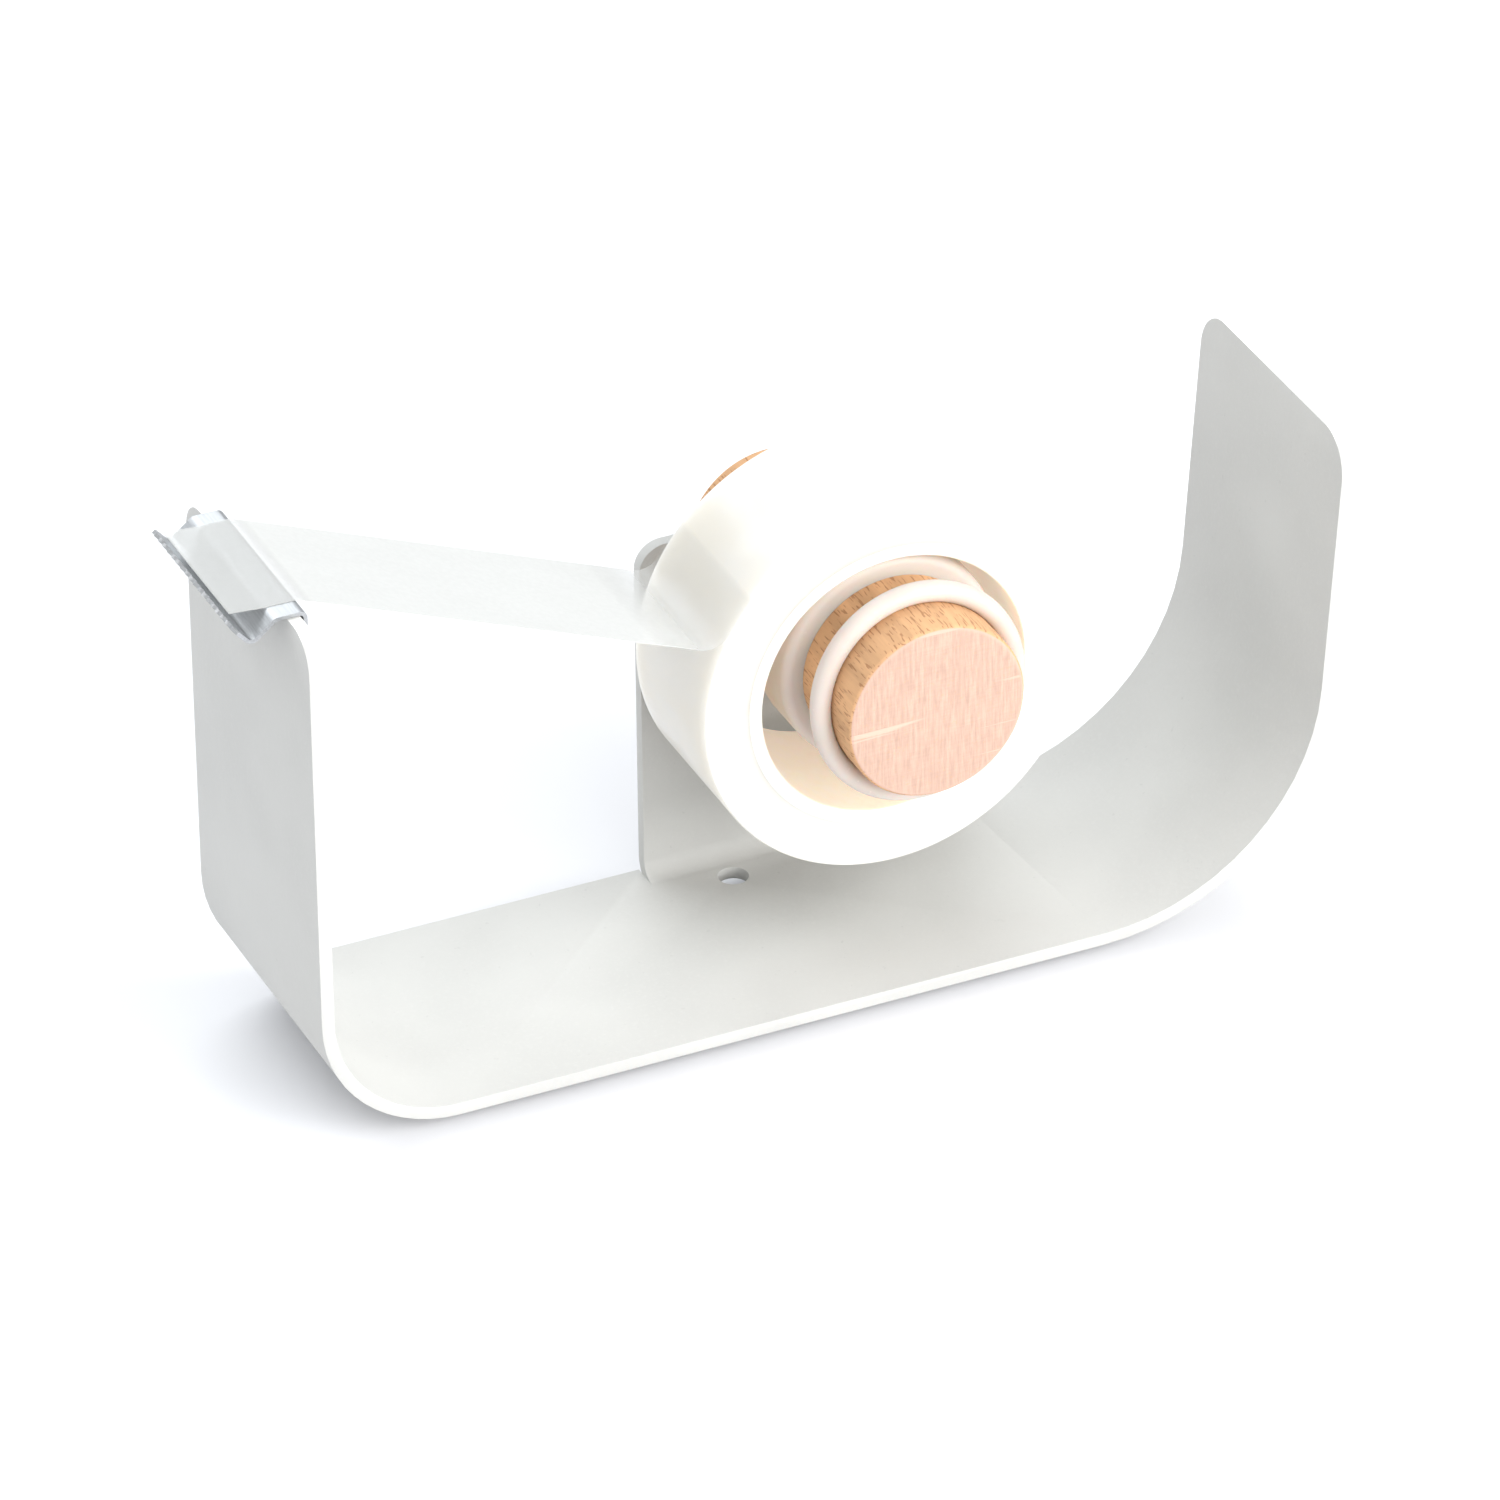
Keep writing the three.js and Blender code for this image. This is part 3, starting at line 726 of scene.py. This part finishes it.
class DISPENSER_OT_spindle(bpy.types.Operator):
    """Make the beech dowel and the beech disc behind the tab"""

    bl_idname = "dispenser.spindle"
    bl_label = "Beech Spindle"

    def execute(self, context):
        front, back = SPINDLE_LO.y, SPINDLE_HI.y
        round_r = 0.45 * MM
        hole, depth = SCREW_HOLE_R, SCREW_HOLE_DEPTH
        rim = arc_points((SPINDLE_R - round_r, front + round_r), round_r, -90, 0, 5)
        points = [(0.0, front), (SPINDLE_R * 0.5, front), *rim,
                  (SPINDLE_R, back), (hole, back), (hole, back - depth), (0.0, back - depth)]
        piece = turned("beech_dowel", points, SPINDLE_AXIS)
        material = beech("beech_dowel", (SPINDLE_AXIS.x, front, SPINDLE_AXIS.z), SPINDLE_R)
        settle(piece, material, "frame", "beech", "spindle")

        y0, y1 = BUTTON_LO.y, BUTTON_HI.y
        round_r, bore, seat = 0.7 * MM, HEAD_BORE_R, y1 - HEAD_BORE_DEPTH
        rim = arc_points((BUTTON_R - round_r, y1 - round_r), round_r, 0, 90, 5)
        points = [(hole, y0), (BUTTON_R, y0), *rim, (bore, y1), (bore, seat), (hole, seat)]
        piece = turned("beech_disc", points, SPINDLE_AXIS, closed=True)
        material = beech("beech_disc", (SPINDLE_AXIS.x, y1, SPINDLE_AXIS.z), BUTTON_R)
        settle(piece, material, "frame", "beech", "spindle_button")
        return {"FINISHED"}


class DISPENSER_OT_fasteners(bpy.types.Operator):
    """Make the screw and the washer that hold the spindle"""

    bl_idname = "dispenser.fasteners"
    bl_label = "Screw and Washer"

    def execute(self, context):
        material = plain_finish("zinc_plate", finishes().zinc, 0.26, metallic=1.0, grain=1100.0)
        for node, name in (("spindle_screw", "cross_screw"), ("screw_washer", "flat_washer")):
            piece = rounded_copy(node, name, 0.12 * MM, segments=2, angle=50.0)
            settle(piece, material, "frame", "fastener", node)
        return {"FINISHED"}


RING_LEAN = math.tan(math.radians(5.5))  # the front ring sits askew on the dowel


class DISPENSER_OT_rings(bpy.types.Operator):
    """Make the two silicone rings on the spindle"""

    bl_idname = "dispenser.rings"
    bl_label = "Silicone Rings"

    def execute(self, context):
        material = silicone()
        half = (RING_R - SPINDLE_R) / 2
        middle = (RING_LO.y + RING_HI.y) / 2
        section = arc_points((RING_R - half, middle), half, 0, 360, 28)[:-1]
        piece = turned("ring_front", section, SPINDLE_AXIS, closed=True)
        for vertex in piece.data.vertices:
            vertex.co.y += (vertex.co.z - SPINDLE_AXIS.z) * RING_LEAN
        settle(piece, material, "frame", "silicone", "front_ring")

        inner = SPINDLE_R
        edge = 0.9 * MM
        section = [
            (inner, BAND_LO.y),
            *arc_points((BAND_R - edge, BAND_LO.y + edge), edge, -90, 0, 8),
            *arc_points((BAND_R - edge, BAND_HI.y - edge), edge, 0, 90, 8),
            (inner, BAND_HI.y),
        ]
        piece = turned("ring_band", section, SPINDLE_AXIS, closed=True)
        settle(piece, material, "frame", "silicone", "roll_band")
        return {"FINISHED"}


CORE_WALL = 1.3 * MM


class DISPENSER_OT_roll(bpy.types.Operator):
    """Make the wound roll of tape and its core"""

    bl_idname = "dispenser.roll"
    bl_label = "Roll of Tape"

    def execute(self, context):
        dice = random.Random(7)
        ripple = sizes().layer_ripple
        y0, y1 = ROLL_LO.y, ROLL_HI.y
        inner = CORE_R
        count = 44
        outer_edge = 0.12 * MM

        def face(y, inward):
            points = []
            for i in range(count + 1):
                radius = inner + (ROLL_R - outer_edge - inner) * i / count
                points.append((radius, y + inward * ripple * (0.15 + dice.random())))
            return points

        front = face(y0, 1.0)
        back = face(y1, -1.0)[::-1]
        points = [*front, (ROLL_R, y0 + 0.2 * MM), (ROLL_R, (y0 + y1) / 2),
                  (ROLL_R, y1 - 0.2 * MM), *back]
        piece = turned("tape_layers", points, ROLL_AXIS, steps=160, closed=True)
        settle(piece, wound_film(), "roll", "tape", "tape_roll")

        lip = 0.25 * MM
        wall = CORE_R - CORE_WALL
        y0, y1 = CORE_LO.y, CORE_HI.y
        section = [
            *arc_points((wall + lip, y0 + lip), lip, 180, 270, 4),
            (CORE_R, y0),
            (CORE_R, y1),
            *arc_points((wall + lip, y1 - lip), lip, 90, 180, 4),
        ]
        piece = turned("core_tube", section, ROLL_AXIS, closed=True)
        settle(piece, core_plastic(), "roll", "core", "tape_core")
        return {"FINISHED"}


PEEL_ANGLE = 149.5  # where the free tape leaves the roll, in degrees round its axis
PEEL_R = 2.2 * MM  # bend of the tape at that place
PEEL_LAP = 12.0  # part of the roll that the end of the mesh follows, in degrees
PEEL_BLEND = 7.0 * MM  # height over the roll at which the fading starts
PEEL_FADE = 0.9
PEEL_TOUCH = 0.9  # nearness from which the tape counts as lying on the roll
FILM_LIFT = 0.06 * MM
TEETH_BARE = 0.75 * MM  # the tape stops this far behind the tips


def ribbon_path():
    """Underside of the free tape in X and Z, from the teeth over the blade and onto the roll."""
    top = FRAME_HI.z + BLADE_LIFT + sizes().blade_sheet + FILM_LIFT
    rear = BLADE_HI.x
    on_roll = ROLL_R + FILM_LIFT
    turn = math.radians(PEEL_ANGLE)
    bend = Vector((ROLL_AXIS.x, ROLL_AXIS.z)) + Vector((math.cos(turn), math.sin(turn))) * (
        on_roll + PEEL_R)
    reach = math.hypot(bend.x - rear, bend.y - top)
    slope = math.atan2(bend.y - top, bend.x - rear) - math.asin(PEEL_R / reach)
    path = [
        (BLADE_LO.x + TEETH_BARE, top + TIP_RISE),
        (WALL_X - BLADE_NOSE - 0.2 * MM, top - 0.02 * MM),
        (WALL_X - BLADE_NOSE * 0.5, top),
        (rear - 0.6 * MM, top),
        (rear - 0.25 * MM, top - 0.03 * MM),
        (rear, top - 0.10 * MM),
    ]
    straight = arc_points(bend, PEEL_R, math.degrees(slope) - 90, PEEL_ANGLE - 180, 16)
    start, end = Vector(path[-1]), Vector(straight[0])
    path += [tuple(start.lerp(end, i / 24)) for i in range(1, 24)]
    path += straight
    centre = (ROLL_AXIS.x, ROLL_AXIS.z)
    path += arc_points(centre, on_roll, PEEL_ANGLE, PEEL_ANGLE - PEEL_LAP, 12)[1:]
    return path


class DISPENSER_OT_ribbon(bpy.types.Operator):
    """Make the free end of the tape, from the roll to the blade"""

    bl_idname = "dispenser.ribbon"
    bl_label = "Free Tape"

    def execute(self, context):
        path = ribbon_path()
        y0, y1 = ROLL_LO.y, ROLL_HI.y
        across = 16
        body = bmesh.new()
        rows = []
        for i, (x, z) in enumerate(path):
            row = []
            for j in range(across + 1):
                t = j / across
                row.append(body.verts.new((x, y0 + (y1 - y0) * t, z)))
            rows.append(row)
        for first, second in zip(rows, rows[1:]):
            for j in range(across):
                body.faces.new((first[j], second[j], second[j + 1], first[j + 1]))
        bmesh.ops.recalc_face_normals(body, faces=body.faces)
        mesh = bpy.data.meshes.new("tape_ribbon")
        body.to_mesh(mesh)
        body.free()
        piece = add_object("tape_ribbon", mesh)
        skin = piece.modifiers.new("film", "SOLIDIFY")
        skin.thickness = sizes().film_sheet
        skin.offset = 0.0
        applied(piece)
        fade = piece.data.attributes.new(FADE, "FLOAT", "POINT")
        for vertex, value in zip(piece.data.vertices, fade.data):
            reach = math.hypot(vertex.co.x - ROLL_AXIS.x, vertex.co.z - ROLL_AXIS.z)
            turn = math.degrees(math.atan2(vertex.co.z - ROLL_AXIS.z, vertex.co.x - ROLL_AXIS.x))
            near = min(max(1 - (reach - ROLL_R) / PEEL_BLEND, 0.0), 1.0)
            lap = min(max((PEEL_ANGLE - turn) / PEEL_LAP, 0.0), 1.0) * (near > PEEL_TOUCH)
            value.value = max(near * PEEL_FADE, lap)
        smooth_by_angle(piece.data, 60.0)
        settle(piece, free_film(), "tape_end", "tape", "free_tape")
        return {"FINISHED"}


# ---------------------------------------------------------------- stage
def area_light(name, place, aim, width, height, power):
    data = bpy.data.lights.new(name, "AREA")
    data.shape = "RECTANGLE"
    data.size, data.size_y = width, height
    data.energy = power
    lamp = bpy.data.objects.new(name, data)
    bpy.context.scene.collection.objects.link(lamp)
    lamp.location = place
    lamp.rotation_mode = "QUATERNION"
    lamp.rotation_quaternion = (Vector(aim) - Vector(place)).to_track_quat("-Z", "Y")
    return lamp


class DISPENSER_OT_stage(bpy.types.Operator):
    """Make the floor, the lights and the camera"""

    bl_idname = "dispenser.stage"
    bl_label = "Stage"

    def execute(self, context):
        chosen = context.scene.dispenser_stage
        side, rise, bend = 3.0, 2.0, 0.5
        path = [(-side, 0.0), (side - bend, 0.0)]
        path += arc_points((side - bend, bend), bend, -90, 0, 24)[1:]
        path += [(side, rise)]
        body = bmesh.new()
        left = [body.verts.new((-side, y, z)) for y, z in path]
        right = [body.verts.new((side, y, z)) for y, z in path]
        for i in range(len(path) - 1):
            face = body.faces.new((left[i], right[i], right[i + 1], left[i + 1]))
            face.smooth = True
        mesh = bpy.data.meshes.new("studio_floor")
        body.to_mesh(mesh)
        body.free()
        floor = add_object("studio_floor", mesh)
        finish = Finish("studio_paper")
        cloud = finish.noise(finish.place, 3.0, 2.0)
        finish.feed(Base_Color=finish.shade(scaled(chosen.floor, 0.99), chosen.floor, cloud),
                    Roughness=0.75 + 0.1 * cloud)
        mesh.materials.append(finish.material)

        area_light("front_softbox", (0.15, -1.1, 0.55), (0, 0, 0.03), 1.1, 0.8, 8.9)
        area_light("right_softbox", (0.75, -0.9, 0.6), (0, 0, 0.03), 1.1, 1.1, 16.0)
        back = area_light("back_softbox", (-0.1, 0.7, 0.9), (0, 0, 0.0), 1.2, 0.8, 10.0)
        back.data.color = (0.93, 0.97, 1.0)
        area_light("left_softbox", (-1.0, -0.2, 0.6), (0, 0, 0.03), 0.8, 0.8, 1.4)
        world = bpy.data.worlds.new("studio")
        world.use_nodes = True
        backdrop = world.node_tree.nodes["Background"]
        backdrop.inputs["Color"].default_value = (0.96, 0.985, 1.0, 1.0)
        backdrop.inputs["Strength"].default_value = 0.68
        context.scene.world = world
        context.scene.view_settings.view_transform = "Standard"

        data = bpy.data.cameras.new("camera")
        camera = bpy.data.objects.new("camera", data)
        context.scene.collection.objects.link(camera)
        data.sensor_width = 36.0
        data.lens = chosen.lens
        data.clip_start, data.clip_end = 0.01, 20.0
        turn, rise = chosen.azimuth, chosen.elevation
        away = Vector((math.sin(turn) * math.cos(rise), -math.cos(turn) * math.cos(rise),
                       math.sin(rise)))
        level = (-away).cross(Vector((0, 0, 1))).normalized()
        upright = level.cross(-away)
        lean = chosen.roll
        right = level * math.cos(lean) + upright * math.sin(lean)
        up = upright * math.cos(lean) - level * math.sin(lean)
        camera.rotation_mode = "QUATERNION"
        camera.rotation_quaternion = Matrix((right, up, away)).transposed().to_quaternion()
        camera.location = Vector((-0.00015, 0.0, chosen.aim_height)) + away * chosen.distance
        context.scene.camera = camera
        return {"FINISHED"}


class DISPENSER_PT_panel(bpy.types.Panel):
    """Steps that build the dispenser"""

    bl_idname = "DISPENSER_PT_panel"
    bl_label = "Tape Dispenser"
    bl_space_type = "VIEW_3D"
    bl_region_type = "UI"
    bl_category = "Dispenser"

    def draw(self, context):
        for step in STEPS:
            self.layout.operator(step.bl_idname)
        for group in ("dispenser_finishes", "dispenser_sizes", "dispenser_stage"):
            values = getattr(context.scene, group)
            for name in values.bl_rna.properties.keys():
                if name not in ("rna_type", "name"):
                    self.layout.prop(values, name)


STEPS = (
    DISPENSER_OT_frame,
    DISPENSER_OT_pad,
    DISPENSER_OT_blade,
    DISPENSER_OT_spindle,
    DISPENSER_OT_fasteners,
    DISPENSER_OT_rings,
    DISPENSER_OT_roll,
    DISPENSER_OT_ribbon,
    DISPENSER_OT_stage,
)
GROUPS = (DispenserFinishes, DispenserSizes, DispenserStage)


def register():
    for item in (*GROUPS, *STEPS, DISPENSER_PT_panel):
        bpy.utils.register_class(item)
    scene = bpy.types.Scene
    scene.dispenser_finishes = PointerProperty(type=DispenserFinishes)
    scene.dispenser_sizes = PointerProperty(type=DispenserSizes)
    scene.dispenser_stage = PointerProperty(type=DispenserStage)


def unregister():
    for name in ("dispenser_finishes", "dispenser_sizes", "dispenser_stage"):
        delattr(bpy.types.Scene, name)
    for item in reversed((*GROUPS, *STEPS, DISPENSER_PT_panel)):
        bpy.utils.unregister_class(item)


def main():
    register()
    steps = bpy.ops.dispenser
    steps.frame()
    steps.pad()
    steps.blade()
    steps.spindle()
    steps.fasteners()
    steps.rings()
    steps.roll()
    steps.ribbon()
    steps.stage()


if __name__ == "__main__":
    main()
